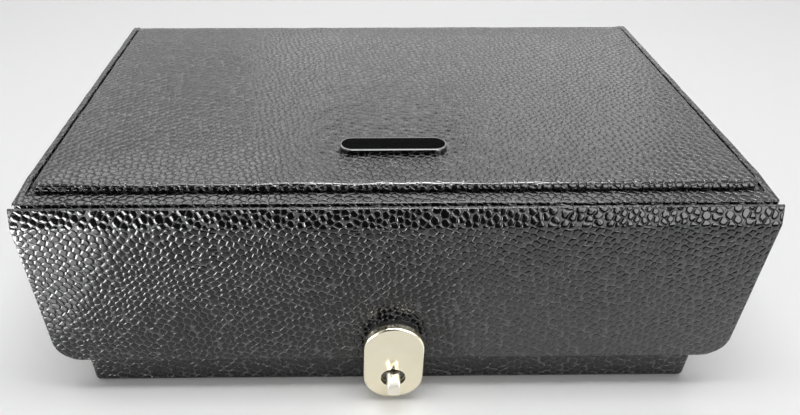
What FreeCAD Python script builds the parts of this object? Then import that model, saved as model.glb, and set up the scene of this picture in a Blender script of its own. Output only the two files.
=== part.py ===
"""Jewelry box with a padded lid, a folding front flap, a turn lock and a sliding tray.

Millimetres. +X is to the right, the front faces -Y, +Z is up. The origin is the centre of the
face that the box rests on.
"""

import FreeCAD, Part
import math
import os

V = FreeCAD.Vector
X = V(1, 0, 0)
Y = V(0, 1, 0)
Z = V(0, 0, 1)
TOL = 1e-4

# Overall sizes
lid_width = 260.0
lid_depth = 166.5
border_height = 87.0
lid_thickness = 6.0
lid_overhang = 9.5
lid_gap = 0.2

# Sheet goods
leather = 1.0
wall_board = 6.0
base_board_thickness = 4.0
lining = 1.5
lining_drop = 0.6
floor_pad = 2.0
base_sheet_thickness = 1.3
base_sheet_proud = 0.3
base_sheet_clearance = 0.3

# Rounding of the covered edges
body_corner = 2.0
wall_ease = 0.3
rim_round = 0.8
lid_corner = 1.2
lid_edge = 0.7

# Padded panel on the lid
panel_side_border = 5.0
panel_front_border = 8.3
panel_back_border = 7.5
panel_height = 2.7
panel_crown = 0.6
panel_crown_reach = 22.0
panel_crown_steps = 3
panel_corner = 3.0
panel_round = 1.5
panel_draw = 0.4

# Bare badge on the panel
badge_length = 40.0
badge_width = 9.8
badge_thickness = 2.1
badge_bevel = 0.8
badge_clearance = 0.1
badge_from_crease = 33.0

# Lid's inside
liner_clearance = 1.5
liner_thickness = 2.7
liner_round = 1.0
mirror_side_border = 18.3
mirror_end_border = 11.3
mirror_thickness = 2.0
mirror_bevel = 0.7
mirror_frame_width = 8.0
mirror_frame_proud = 0.5
mirror_frame_round = 1.2
mirror_clearance = 0.2

# Front flap and its crease
crease_gap = 1.9
crease_below_top = 0.7
crease_strip_thickness = 0.8
crease_strip_drop = 0.3
crease_strip_dip = 0.3
flap_to_body = 1.0
flap_thickness = 3.6
flap_above_cam = 1.3
flap_top_drop = 0.1
flap_top_width = 1.1
bevel_height = 6.2
flap_corner = 9.5
flap_edge = 0.8
flap_lining = 0.6
flap_lining_border = 2.0

# Turn lock on the flap
lock_width = 22.8
lock_height = 37.5
lock_bottom = 2.0
lock_plate_thickness = 2.7
lock_plate_round = 0.8
lock_body_depth = 3.8
lock_body_inset = 1.5
lock_body_wall = 1.2
lock_pocket_height = 17.0
index_radius = 1.1
index_depth = 0.5
index_above_recess = 1.9

# Knob, spindle and cam of the lock
knob_radius = 4.75
knob_sunk = 1.9
knob_flange_overlap = 1.4
knob_flange_thickness = 0.8
fin_width = 5.0
fin_end_gap = 0.3
fin_reach = 6.6
fin_neck = 4.2
fin_flare = 2.4
fin_round = 3.6
fin_edge = 0.7
fin_notch_width = 1.4
fin_notch_reach = 1.6
fin_notch_depth = 1.0
spindle_radius = 2.0
spindle_bite = 0.9
spindle_square = 2.4
web_thickness = 0.8
cam_thickness = 1.0
cam_hub_radius = 2.6
cam_width = 3.5
cam_clearance = 0.45
ring_thickness = 0.6
ring_radius = 2.5
spindle_end = 0.3
running = 0.05
side_play = 0.1

# Keeper on the body's front
keeper_sheet = 0.9
keeper_width = 18.0
keeper_corner = 1.75
keeper_bottom = 4.0
keeper_below_flap = 0.3
hook_from_hub = 0.6
hook_from_wall = 1.25
hook_below_cam = 0.95
hook_play = 0.35

# Backing plate and rivets of the lock
backing_width = 12.0
backing_height = 13.0
rivet_spacing = 9.0
rivet_radius = 1.0
rivet_head_radius = 1.9
rivet_head = 0.5
rivet_bite = 2.6
rivets_from_top = 8.0

# Hinges at the back
hinge_spread = 140.0
hinge_length = 30.0
knuckle_length = 9.6
knuckle_gap = 0.2
knuckle_radius = 2.0
knuckle_clearance = 0.3
leaf_thickness = 1.0
leaf_drop = 13.0
lid_leaf_end = 0.8
pin_radius = 0.8
pin_head_radius = 1.3
pin_head = 0.5

# Screws of the hinges and the keeper
screw_head_radius = 1.3
screw_radius = 0.8
screw_length = 4.0
hinge_screw_spacing = 20.0
body_screw_from_edge = 4.0
keeper_screw_spacing = 11.0
keeper_screw_height = 8.5

# Body's inside
tray_below_rim = 9.6
rail_height = 3.0
rail_width = 5.0
rail_round = 1.0
divider_thickness = 2.5
divider_below_rail = 0.7
divider_round = 1.0
divider_clearance = 0.3
lap_clearance = 0.15
long_divider_y = 4.0
cross_divider_spacing = 76.0
cross_divider_count = 2

# Sliding tray
tray_width = 110.0
tray_height = 26.0
tray_wall = 3.0
tray_floor_thickness = 2.5
tray_clearance = 0.5
tray_lift = 0.2
tray_round = 1.2
tray_divider_drop = 3.0
notch_radius = 16.0
notch_depth = 7.0
roll_count = 6
roll_diameter = 10.2
roll_gap = 0.4
roll_end_gap = 0.5
roll_end_bevel = 1.5
bed_thickness = 6.0

# Places worked out from the sizes above
body_width = lid_width - 2 * lid_overhang
body_depth = lid_depth - lid_overhang
side = body_width / 2
front = -body_depth / 2
back = body_depth / 2
lid_underside = border_height - lid_thickness
rim = lid_underside - lid_gap
wall_bottom = base_sheet_proud + leather
wall_top = rim - leather
inner_side = side - leather - wall_board
inner_back = back - leather - wall_board
base_top = base_sheet_thickness + base_board_thickness
floor = base_top + floor_pad
lined_side = inner_side - lining
lined_back = inner_back - lining
lining_top = rim - lining_drop

lid_side = lid_width / 2
lid_front = front + crease_gap / 2
lid_back = back + lid_overhang
liner_side = lined_side - liner_clearance
liner_back = lined_back - liner_clearance
liner_bottom = lid_underside + leather - liner_thickness
mirror_half_width = liner_side - mirror_side_border - mirror_frame_width - mirror_clearance
mirror_half_depth = liner_back - mirror_end_border - mirror_frame_width - mirror_clearance

knob_height = lock_bottom + lock_width / 2
flap_bottom = knob_height + cam_hub_radius + flap_above_cam
crease_z = border_height - crease_below_top
flap_back = front - flap_to_body
flap_front = flap_back - flap_thickness
flap_top = border_height - flap_top_drop

lock_back = flap_front
plate_back = lock_back - lock_body_depth
plate_front = plate_back - lock_plate_thickness
lock_top = lock_bottom + lock_height
chamber_side = lock_width / 2 - lock_body_inset - lock_body_wall
knob_flange_radius = knob_radius + knob_flange_overlap
fin_length = 2 * (knob_radius - fin_end_gap)
cam_reach = chamber_side - cam_clearance
hook_left = cam_hub_radius + hook_from_hub
hook_right = chamber_side - hook_from_wall
hook_foot = knob_height - cam_width / 2 - hook_below_cam
flange_back = plate_back + running + knob_flange_thickness
web_front = flange_back + side_play
web_back = web_front + web_thickness
hook_tip = web_back + hook_play
cam_front = hook_tip + keeper_sheet + hook_play
cam_back = cam_front + cam_thickness

axis_y = back + knuckle_radius + knuckle_clearance
axis_z = lid_underside - knuckle_radius - knuckle_clearance

tray_top = rim - tray_below_rim
tray_bottom = tray_top - tray_height
rail_top = tray_bottom - tray_lift
divider_top = rail_top - rail_height - divider_below_rail
tray_left = -lined_side + tray_clearance
tray_right = tray_left + tray_width
tray_back = lined_back - tray_clearance
tray_floor_top = tray_bottom + tray_floor_thickness
tray_inner_back = tray_back - tray_wall
tray_inner_left = tray_left + tray_wall
tray_inner_right = tray_right - tray_wall
tray_divider_top = tray_top - tray_divider_drop
roll_pitch = roll_diameter + roll_gap
bed_front = -tray_inner_back + roll_end_gap
bed_back = bed_front + roll_count * roll_pitch
tray_divider_front = bed_back + roll_end_gap
tray_divider_back = tray_divider_front + divider_thickness

nodes = {}


def block(x0, x1, y0, y1, z0, z1):
    """Box between two corners."""
    return Part.makeBox(x1 - x0, y1 - y0, z1 - z0, V(x0, y0, z0))


def prism(points, run):
    """Solid with a straight-sided section, drawn along a vector."""
    return Part.Face(Part.makePolygon(points + points[:1])).extrude(run)


def stadium(centre, straight, radius, along, across, run):
    """Solid with a section of two half circles joined by straight sides."""
    a = centre + along * (straight / 2)
    b = centre - along * (straight / 2)
    sides = across * radius
    ends = along * radius
    edges = [
        Part.LineSegment(b + sides, a + sides).toShape(),
        Part.Arc(a + sides, a + ends, a - sides).toShape(),
        Part.LineSegment(a - sides, b - sides).toShape(),
        Part.Arc(b - sides, b - ends, b + sides).toShape(),
    ]
    return Part.Face(Part.Wire(edges)).extrude(run)


def turned(profile, centre, axis):
    """Solid of revolution from points (radius, distance along the axis)."""
    aside = Z if abs(axis.z) < 0.5 else X
    points = [centre + aside * r + axis * d for r, d in profile]
    return Part.Face(Part.makePolygon(points + points[:1])).revolve(centre, axis, 360)


def rounded(shape, radius, test):
    """The solid with the edges that pass a test rounded."""
    return shape.makeFillet(radius, [e for e in shape.Edges if test(e)])


def upright(edge):
    """True for an edge that runs along Z."""
    box = edge.BoundBox
    return box.XLength < TOL and box.YLength < TOL


def along_x(edge):
    """True for an edge that runs along X."""
    box = edge.BoundBox
    return box.YLength < TOL and box.ZLength < TOL


def along_y(edge):
    """True for an edge that runs along Y."""
    box = edge.BoundBox
    return box.XLength < TOL and box.ZLength < TOL


def level(height):
    """Test for edges that lie at one height."""
    return lambda e: abs(e.BoundBox.ZMin - height) < TOL and abs(e.BoundBox.ZMax - height) < TOL


def facing(y):
    """Test for edges that lie in one plane square to Y."""
    return lambda e: abs(e.BoundBox.YMin - y) < TOL and abs(e.BoundBox.YMax - y) < TOL


def below(height):
    """Test for edges that lie no higher than a height."""
    return lambda e: e.BoundBox.ZMax < height + TOL


def both(*tests):
    """Test that passes an edge which passes all of several tests."""
    return lambda e: all(test(e) for test in tests)


def either(*tests):
    """Test that passes an edge which passes any of several tests."""
    return lambda e: any(test(e) for test in tests)


def cut_all(shape, tools):
    """The solid with several others cut out of it."""
    for tool in tools:
        shape = shape.cut(tool)
    return shape


def group(shapes):
    """Several separate solids in one node."""
    return Part.makeCompound(shapes)


def screw(head, inward):
    """Countersunk screw whose flat head is at a point."""
    sink = screw_head_radius - screw_radius
    profile = [
        (0, 0),
        (screw_head_radius, 0),
        (screw_radius, sink),
        (screw_radius, screw_length),
        (0, screw_length),
    ]
    return turned(profile, head, inward)


def body_screws():
    """Screws that hold the hinge leaves to the back of the body."""
    at_z = axis_z - knuckle_radius - leaf_drop + body_screw_from_edge
    return [
        screw(V(s * hinge_spread / 2 + t * hinge_screw_spacing / 2, back + leaf_thickness, at_z), -Y)
        for s in (-1, 1)
        for t in (-1, 1)
    ]


def lid_screws():
    """Screws that hold the hinge leaves under the lid's back overhang."""
    cut_back = axis_y + knuckle_radius + knuckle_clearance
    at_y = (cut_back + lid_back - lid_leaf_end) / 2
    return [
        screw(V(s * hinge_spread / 2 + t * hinge_screw_spacing / 2, at_y, lid_underside - leaf_thickness), Z)
        for s in (-1, 1)
        for t in (-1, 1)
    ]


def keeper_screws():
    """Screws that hold the keeper to the front of the body."""
    return [
        screw(V(t * keeper_screw_spacing / 2, front - keeper_sheet, keeper_screw_height), Y)
        for t in (-1, 1)
    ]


def make_body():
    """Walls mitred at the corners, their wrap, and the base."""
    outer = block(-side, side, front, back, base_sheet_proud, rim)
    outer = rounded(outer, body_corner, either(upright, level(base_sheet_proud)))
    outer = rounded(outer, rim_round, level(rim))
    inset = side - leather
    core = block(-inset, inset, front + leather, back - leather, wall_bottom, wall_top)
    hollow = rounded(core, body_corner - leather, either(upright, level(wall_bottom)))
    core = rounded(core, body_corner - leather + wall_ease, either(upright, level(wall_bottom)))
    inside = block(-inner_side, inner_side, -inner_back, inner_back, 0, border_height)
    holes = body_screws() + keeper_screws()
    nodes["body_wrap"] = cut_all(outer.cut(hollow).cut(inside), holes)
    ring = cut_all(core.cut(inside), holes)
    far = wall_board + leather
    ends = [(inner_side, inner_back), (inner_side + far, inner_back + far)]
    for name, sx, sy in (("front", 0, -1), ("back", 0, 1), ("left", -1, 0), ("right", 1, 0)):
        if sx:
            points = [V(sx * u, -v, 0) for u, v in ends] + [V(sx * u, v, 0) for u, v in reversed(ends)]
        else:
            points = [V(-u, sy * v, 0) for u, v in ends] + [V(u, sy * v, 0) for u, v in reversed(ends)]
        nodes[name + "_wall"] = ring.common(prism(points, Z * border_height))
    nodes["base_board"] = block(
        -inner_side, inner_side, -inner_back, inner_back, base_sheet_thickness, base_top
    )
    sheet_side = inner_side - base_sheet_clearance
    sheet_back = inner_back - base_sheet_clearance
    sheet = block(-sheet_side, sheet_side, -sheet_back, sheet_back, 0, base_sheet_thickness)
    nodes["base_sheet"] = rounded(sheet, body_corner, upright)


def make_linings():
    """Velour-covered card on the walls and a soft floor."""
    nodes["front_lining"] = block(-inner_side, inner_side, -inner_back, -lined_back, base_top, lining_top)
    nodes["back_lining"] = block(-inner_side, inner_side, lined_back, inner_back, base_top, lining_top)
    nodes["left_lining"] = block(-inner_side, -lined_side, -lined_back, lined_back, base_top, lining_top)
    nodes["right_lining"] = block(lined_side, inner_side, -lined_back, lined_back, base_top, lining_top)
    nodes["floor_lining"] = block(-lined_side, lined_side, -lined_back, lined_back, base_top, floor)


def make_rails():
    """Ledges along the front and back linings that carry the tray."""
    for name, y0 in (("front_rail", -lined_back), ("back_rail", lined_back - rail_width)):
        bar = block(-lined_side, lined_side, y0, y0 + rail_width, rail_top - rail_height, rail_top)
        free = y0 + rail_width if y0 < 0 else y0
        nodes[name] = rounded(bar, rail_round, both(facing(free), level(rail_top)))


def make_dividers():
    """Crossing dividers of the lower layer, halved into each other."""
    end = lined_side - divider_clearance
    half = divider_thickness / 2
    top = divider_top
    middle = (floor + divider_top) / 2
    y0 = long_divider_y - half
    y1 = long_divider_y + half
    slot = half + lap_clearance
    long_one = rounded(block(-end, end, y0, y1, floor, top), divider_round, level(top))
    cross = []
    for i in range(cross_divider_count):
        x = (i - (cross_divider_count - 1) / 2) * cross_divider_spacing
        depth = lined_back - divider_clearance
        board = rounded(block(x - half, x + half, -depth, depth, floor, top), divider_round, level(top))
        lap = block(x - slot, x + slot, long_divider_y - slot, long_divider_y + slot, 0, middle)
        cross.append(board.cut(lap))
        long_one = long_one.cut(block(x - slot, x + slot, y0, y1, middle, border_height))
    nodes["long_divider"] = long_one
    nodes["cross_dividers"] = group(cross)


def make_lid():
    """Lid board with its wrap, which turns in under the edges."""
    outer = block(-lid_side, lid_side, lid_front, lid_back, lid_underside, border_height)
    outer = rounded(outer, lid_corner, upright)
    outer = rounded(outer, lid_edge, either(level(border_height), level(lid_underside)))
    board = block(
        -lid_side + leather,
        lid_side - leather,
        lid_front + leather,
        lid_back - leather,
        lid_underside + leather,
        border_height - leather,
    )
    board = rounded(board, lid_corner - leather, upright)
    liner = block(-liner_side, liner_side, -liner_back, liner_back, liner_bottom, lid_underside + leather)
    liner = rounded(liner, lid_corner, upright)
    nodes["lid_wrap"] = cut_all(outer.cut(board).cut(liner), lid_screws())
    nodes["lid_board"] = cut_all(board, lid_screws())
    nodes["lid_liner"] = rounded(liner, liner_round, level(liner_bottom))


def rounded_frame(x, y0, y1, corner, z):
    """Closed outline of a rectangle with round corners, level at one height."""
    bend = corner * (1 - math.sqrt(0.5))
    corners = [(x, y0, 1, -1), (x, y1, 1, 1), (-x, y1, -1, 1), (-x, y0, -1, -1)]
    edges = []
    ends = []
    for cx, cy, sx, sy in corners:
        along_y = V(cx, cy - sy * corner, z)
        along_x = V(cx - sx * corner, cy, z)
        middle = V(cx - sx * bend, cy - sy * bend, z)
        first, last = (along_y, along_x) if sx * sy > 0 else (along_x, along_y)
        ends.append((first, middle, last))
    for i, (first, middle, last) in enumerate(ends):
        edges.append(Part.Arc(first, middle, last).toShape())
        edges.append(Part.LineSegment(last, ends[(i + 1) % len(ends)][0]).toShape())
    return Part.Wire(edges)


def panel_solid(reach, y0, y1):
    """Pad drawn in at its foot, with rolled edges and a low crown."""
    quarter = panel_round * (1 - math.sqrt(0.5))
    edge_top = panel_height
    sections = [
        (panel_draw, 0.0),
        (0.0, (edge_top - panel_round) / 2),
        (0.0, edge_top - panel_round),
        (quarter, edge_top - quarter),
        (panel_round, edge_top),
    ]
    wires = [
        rounded_frame(reach - inset, y0 + inset, y1 - inset, panel_corner, border_height + height)
        for inset, height in sections
    ]
    sides = Part.makeLoft(wires, True, True)
    rise = panel_crown / panel_crown_steps
    crown = []
    for i in range(panel_crown_steps + 1):
        inset = panel_round + panel_crown_reach * (1 - math.sqrt(1 - i / panel_crown_steps))
        crown.append(
            rounded_frame(
                reach - inset, y0 + inset, y1 - inset, panel_corner, border_height + edge_top + i * rise
            )
        )
    return sides.fuse(Part.makeLoft(crown, True, True)).removeSplitter()


def make_panel():
    """Padded panel and the bare badge let into it."""
    pad = panel_solid(
        lid_side - panel_side_border, front + panel_front_border, lid_back - panel_back_border
    )
    seat = border_height + panel_height
    straight = badge_length - badge_width
    centre = V(0, front + badge_from_crease, seat)
    badge = stadium(centre, straight, badge_width / 2, X, Y, Z * badge_thickness)
    pocket = stadium(centre, straight, badge_width / 2 + badge_clearance, X, Y, Z * badge_thickness)
    nodes["lid_panel"] = pad.cut(pocket)
    bevel_edges = [e for e in badge.Edges if level(seat + badge_thickness)(e)]
    nodes["badge"] = badge.makeChamfer(badge_bevel, bevel_edges)


def make_mirror():
    """Bevelled mirror on the lid's inside, in a rolled frame."""
    half_width = mirror_half_width
    half_depth = mirror_half_depth
    glass_bottom = liner_bottom - mirror_thickness
    glass = block(-half_width, half_width, -half_depth, half_depth, glass_bottom, liner_bottom)
    nodes["mirror"] = glass.makeChamfer(mirror_bevel, [e for e in glass.Edges if level(glass_bottom)(e)])
    frame_bottom = glass_bottom - mirror_frame_proud
    opening_x = half_width + mirror_clearance
    opening_y = half_depth + mirror_clearance
    outer_x = opening_x + mirror_frame_width
    outer_y = opening_y + mirror_frame_width
    frame = rounded(
        block(-outer_x, outer_x, -outer_y, outer_y, frame_bottom, liner_bottom), panel_corner, upright
    )
    frame = frame.cut(block(-opening_x, opening_x, -opening_y, opening_y, frame_bottom, liner_bottom))
    nodes["mirror_frame"] = rounded(frame, mirror_frame_round, level(frame_bottom))


def flap_section(inset):
    """Outline of the flap seen from the side, drawn in by a thickness on its outer faces."""
    slope = math.atan2(flap_thickness - flap_top_width, bevel_height)
    y_face = flap_front + inset
    z_top = flap_top - inset
    z_knee = flap_top - bevel_height - inset * math.tan(slope / 2)
    y_top = y_face + (z_top - z_knee) * math.tan(slope)
    return [
        V(0, flap_back, flap_bottom + inset),
        V(0, y_face, flap_bottom + inset),
        V(0, y_face, z_knee),
        V(0, y_top, z_top),
        V(0, flap_back, z_top),
    ]


def flap_solid(inset):
    """Flap with its bevelled top and round lower corners, drawn in by a thickness."""
    reach = lid_side - inset
    points = [p + X * -reach for p in flap_section(inset)]
    solid = prism(points, X * (2 * reach))
    return rounded(solid, flap_corner - inset, both(along_y, below(flap_bottom + inset)))


def make_flap():
    """Flap board, its wrap, its lining and the strip of leatherette that it folds on."""
    outer = flap_solid(0.0)
    outer = rounded(outer, flap_edge, facing(flap_front))
    core = flap_solid(leather)
    rivets = lock_rivets()
    seam = flap_back - flap_lining
    low = flap_bottom + flap_lining_border
    reach = lid_side - flap_lining_border
    knee = flap_top - bevel_height
    lining_block = rounded(
        block(-reach, reach, seam, flap_back, low, knee),
        flap_corner - flap_lining_border,
        both(along_y, below(low)),
    )
    plate = backing_plate()
    nodes["flap_wrap"] = cut_all(outer.cut(core), rivets)
    nodes["flap_board"] = cut_all(core.cut(lining_block), rivets)
    nodes["flap_lining"] = lining_block.cut(plate)
    nodes["lock_backing"] = cut_all(plate, rivets)
    nodes["lock_rivets"] = group(rivets)
    strip_top = crease_z - crease_strip_drop
    strip_bottom = strip_top - crease_strip_thickness
    edges = [
        Part.LineSegment(V(0, flap_back, strip_top), V(0, flap_back, strip_bottom)).toShape(),
        Part.LineSegment(V(0, flap_back, strip_bottom), V(0, lid_front, strip_bottom)).toShape(),
        Part.LineSegment(V(0, lid_front, strip_bottom), V(0, lid_front, strip_top)).toShape(),
        Part.Arc(
            V(0, lid_front, strip_top),
            V(0, (flap_back + lid_front) / 2, strip_top - crease_strip_dip),
            V(0, flap_back, strip_top),
        ).toShape(),
    ]
    reach = lid_side - lid_corner
    face = Part.Face(Part.Wire(edges))
    face.translate(X * -reach)
    nodes["crease_strip"] = face.extrude(X * (2 * reach))


def rivet_heights():
    """Heights of the lock's rivets, upper one first."""
    upper = lock_top - rivets_from_top
    return [upper, upper - rivet_spacing]


def lock_rivets():
    """Rivets through the flap into the lock's body, with flat heads on the inside."""
    profile = [
        (0, 0),
        (rivet_head_radius, 0),
        (rivet_head_radius, rivet_head),
        (rivet_radius, rivet_head),
        (rivet_radius, rivet_head + flap_thickness + rivet_bite),
        (0, rivet_head + flap_thickness + rivet_bite),
    ]
    return [turned(profile, V(0, flap_back + rivet_head, z), -Y) for z in rivet_heights()]


def backing_plate():
    """Thin plate under the rivet heads, let into the flap's lining."""
    middle = sum(rivet_heights()) / 2
    plate = block(
        -backing_width / 2,
        backing_width / 2,
        flap_back - flap_lining,
        flap_back,
        middle - backing_height / 2,
        middle + backing_height / 2,
    )
    return rounded(plate, rivet_head_radius, along_y)


def lock_outline(inset, y0, y1):
    """The lock's upright stadium, drawn in by a margin."""
    centre = V(0, y0, (lock_bottom + lock_top) / 2)
    return stadium(centre, lock_height - lock_width, lock_width / 2 - inset, Z, X, Y * (y1 - y0))


def disc(radius, y0, y1):
    """Round disc about the knob's axis."""
    return Part.makeCylinder(radius, y1 - y0, V(0, y0, knob_height), Y)


def make_lock():
    """Thick front plate with its recess and index mark, and the body behind it."""
    plate = lock_outline(0.0, plate_front, plate_back)
    plate = rounded(plate, lock_plate_round, facing(plate_front))
    recess = knob_radius + running
    mark_z = knob_height + recess + index_above_recess
    mark = turned([(0, 0), (index_radius, 0), (0, index_depth)], V(0, plate_front, mark_z), Y)
    nodes["lock_plate"] = plate.cut(disc(recess, plate_front, plate_back)).cut(mark)
    body = lock_outline(lock_body_inset, plate_back, lock_back)
    pocket = disc(knob_flange_radius + side_play, plate_back, web_front)
    chamber = lock_outline(lock_width / 2 - chamber_side, web_back, lock_back)
    chamber = chamber.common(
        block(-lid_side, lid_side, plate_front, flap_back, 0, lock_bottom + lock_pocket_height)
    )
    hole = disc(spindle_radius + running, plate_back, lock_back)
    nodes["lock_body"] = cut_all(body, [pocket, chamber, hole] + lock_rivets())


def make_knob():
    """Turning knob with its fin, the spindle behind it, the cam lug and the retaining ring."""
    face = plate_front + knob_sunk
    tip = plate_front - fin_reach
    upper = [(face, fin_neck / 2), (plate_front - fin_flare, fin_length / 2), (tip, fin_length / 2)]
    points = [V(-fin_width / 2, y, knob_height + z) for y, z in upper]
    points += [V(-fin_width / 2, y, knob_height - z) for y, z in reversed(upper)]
    fin = prism(points, X * fin_width)
    fin = rounded(fin, fin_round, both(along_x, facing(tip)))
    fin = rounded(fin, fin_edge, lambda e: on_fin_rim(e, tip))
    centre = V(0, tip, knob_height)
    fin = fin.common(stadium(centre, fin_length - fin_width, fin_width / 2, Z, X, Y * (face - tip)))
    notch = block(
        -fin_notch_width / 2,
        fin_notch_width / 2,
        plate_front - fin_notch_reach,
        face,
        knob_height + fin_neck / 2 - fin_notch_depth,
        knob_height + fin_length / 2,
    )
    knob = disc(knob_radius, face, plate_back + running)
    knob = knob.fuse(disc(knob_flange_radius, plate_back + running, flange_back))
    knob = knob.fuse(fin.cut(notch)).removeSplitter()
    tail = cam_back + ring_thickness + spindle_end
    spindle = disc(spindle_radius, flange_back - spindle_bite, cam_front)
    spindle = spindle.fuse(
        block(
            -spindle_square / 2,
            spindle_square / 2,
            cam_front,
            tail,
            knob_height - spindle_square / 2,
            knob_height + spindle_square / 2,
        )
    )
    nodes["turn_knob"] = knob.cut(spindle)
    nodes["knob_spindle"] = spindle
    lug = block(-cam_width / 2, cam_width / 2, cam_front, cam_back, knob_height - cam_reach, knob_height)
    lug = rounded(lug, cam_width / 2 - running, both(along_y, below(knob_height - cam_reach)))
    hub = disc(cam_hub_radius, cam_front, cam_back)
    nodes["cam_lug"] = hub.fuse(lug).removeSplitter().cut(spindle)
    nodes["retaining_ring"] = disc(ring_radius, cam_back, cam_back + ring_thickness).cut(spindle)


def on_fin_rim(edge, tip):
    """True for an edge of the fin's two flat sides that is free of the disc."""
    box = edge.BoundBox
    if box.XLength > TOL:
        return False
    return box.YMin < plate_front - TOL or box.YMin < tip + TOL


def make_keeper():
    """Keeper of bent sheet: a plate on the body's front with a hook for the cam lug."""
    top = flap_bottom - keeper_below_flap
    plate = block(-keeper_width / 2, keeper_width / 2, front - keeper_sheet, front, keeper_bottom, top)
    plate = rounded(plate, keeper_corner, along_y)
    arm = block(hook_left, hook_right, hook_tip, front, top - keeper_sheet, top)
    lip = block(hook_left, hook_right, hook_tip, hook_tip + keeper_sheet, hook_foot, top)
    hook = arm.fuse(lip).removeSplitter()
    hook = rounded(hook, keeper_sheet - running, both(facing(hook_tip), level(top)))
    nodes["keeper"] = cut_all(plate.fuse(hook).removeSplitter(), keeper_screws())
    nodes["keeper_screws"] = group(keeper_screws())


def knuckle(x0, x1):
    """One length of a hinge's barrel, before its bore."""
    return Part.makeCylinder(knuckle_radius, x1 - x0, V(x0, axis_y, axis_z), X)


def make_hinges():
    """Two butt hinges: upright leaves on the body's back, flat leaves under the lid's overhang."""
    half = hinge_length / 2
    middle = knuckle_length / 2
    clear = knuckle_radius + knuckle_clearance
    pins = []
    for name, s in (("left", -1), ("right", 1)):
        x = s * hinge_spread / 2
        bore = Part.makeCylinder(pin_radius + running, hinge_length, V(x - half, axis_y, axis_z), X)
        low = axis_z - knuckle_radius - leaf_drop
        body_leaf = block(x - half, x + half, back, back + leaf_thickness, low, axis_z)
        gap = middle + knuckle_gap
        body_leaf = body_leaf.cut(
            block(x - gap, x + gap, back, back + leaf_thickness, axis_z - clear, axis_z)
        )
        body_leaf = body_leaf.fuse(knuckle(x - half, x - gap)).fuse(knuckle(x + gap, x + half))
        nodes[name + "_body_leaf"] = cut_all(body_leaf.removeSplitter(), [bore] + body_screws())
        far = lid_back - lid_leaf_end
        lid_leaf = block(x - half, x + half, axis_y, far, lid_underside - leaf_thickness, lid_underside)
        for a, b in ((x - half, x - middle), (x + middle, x + half)):
            lid_leaf = lid_leaf.cut(
                block(a, b, axis_y, axis_y + clear, lid_underside - leaf_thickness, lid_underside)
            )
        lid_leaf = lid_leaf.fuse(knuckle(x - middle, x + middle))
        nodes[name + "_lid_leaf"] = cut_all(lid_leaf.removeSplitter(), [bore] + lid_screws())
        profile = [
            (0, -pin_head),
            (pin_head_radius, -pin_head),
            (pin_head_radius, 0),
            (pin_radius, 0),
            (pin_radius, hinge_length),
            (pin_head_radius, hinge_length),
            (pin_head_radius, hinge_length + pin_head),
            (0, hinge_length + pin_head),
        ]
        pins.append(turned(profile, V(x - half, axis_y, axis_z), X))
    nodes["hinge_pins"] = group(pins)
    nodes["body_hinge_screws"] = group(body_screws())
    nodes["lid_hinge_screws"] = group(lid_screws())


def make_tray():
    """Sliding tray: walls, floor, dividers and a finger notch in the right wall."""
    low = tray_bottom
    top = tray_top
    for name, y0, y1 in (
        ("tray_front_wall", -tray_back, -tray_inner_back),
        ("tray_back_wall", tray_inner_back, tray_back),
    ):
        nodes[name] = rounded(block(tray_left, tray_right, y0, y1, low, top), tray_round, level(top))
    for name, x0, x1 in (
        ("tray_left_wall", tray_left, tray_inner_left),
        ("tray_right_wall", tray_inner_right, tray_right),
    ):
        wall = block(x0, x1, -tray_inner_back, tray_inner_back, low, top)
        wall = rounded(wall, tray_round, both(level(top), along_y))
        if name == "tray_right_wall":
            centre = V(x0, 0, top + notch_radius - notch_depth)
            wall = wall.cut(Part.makeCylinder(notch_radius, tray_wall, centre, X))
        nodes[name] = wall
    nodes["tray_floor"] = block(
        tray_inner_left, tray_inner_right, -tray_inner_back, tray_inner_back, low, tray_floor_top
    )
    long_one = block(
        tray_inner_left,
        tray_inner_right,
        tray_divider_front,
        tray_divider_back,
        tray_floor_top,
        tray_divider_top,
    )
    nodes["tray_long_divider"] = rounded(long_one, divider_round, both(level(tray_divider_top), along_x))
    x = (tray_inner_left + tray_inner_right) / 2
    half = divider_thickness / 2
    cross = block(x - half, x + half, tray_divider_back, tray_inner_back, tray_floor_top, tray_divider_top)
    nodes["tray_cross_divider"] = rounded(cross, divider_round, both(level(tray_divider_top), along_y))


def make_ring_rolls():
    """Soft rolls that hold rings between them, side by side on a foam bed."""
    x0 = tray_inner_left + roll_end_gap
    x1 = tray_inner_right - roll_end_gap
    bed_top = tray_floor_top + bed_thickness
    nodes["ring_bed"] = block(x0, x1, bed_front, bed_back, tray_floor_top, bed_top)
    rolls = []
    radius = roll_diameter / 2
    for i in range(roll_count):
        at = V(x0, bed_front + (i + 0.5) * roll_pitch, bed_top + roll_gap / 2 + radius)
        roll = Part.makeCylinder(radius, x1 - x0, at, X)
        ends = [e for e in roll.Edges if e.BoundBox.XLength < TOL]
        rolls.append(roll.makeChamfer(roll_end_bevel, ends))
    nodes["ring_rolls"] = group(rolls)


def main():
    """Build every piece and write one file for each node."""
    make_body()
    make_linings()
    make_rails()
    make_dividers()
    make_lid()
    make_panel()
    make_mirror()
    make_flap()
    make_lock()
    make_knob()
    make_keeper()
    make_hinges()
    make_tray()
    make_ring_rolls()
    os.makedirs("parts", exist_ok=True)
    for name, shape in nodes.items():
        solids = shape.Solids
        state = "ok" if shape.isValid() and solids else "BAD"
        print(name, len(solids), round(shape.Volume, 2), state)
        shape.exportStep("parts/" + name + ".step")


main()
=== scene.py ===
"""Jewelry box in black pebbled leatherette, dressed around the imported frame.

Metres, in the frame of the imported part: +X to the right, the front faces -Y, +Z up.
"""

import logging
import math
from collections.abc import Callable, Sequence
from dataclasses import dataclass
from enum import Enum
from functools import cache, partial

import bmesh
import bpy
from mathutils import Matrix, Vector, noise


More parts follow.
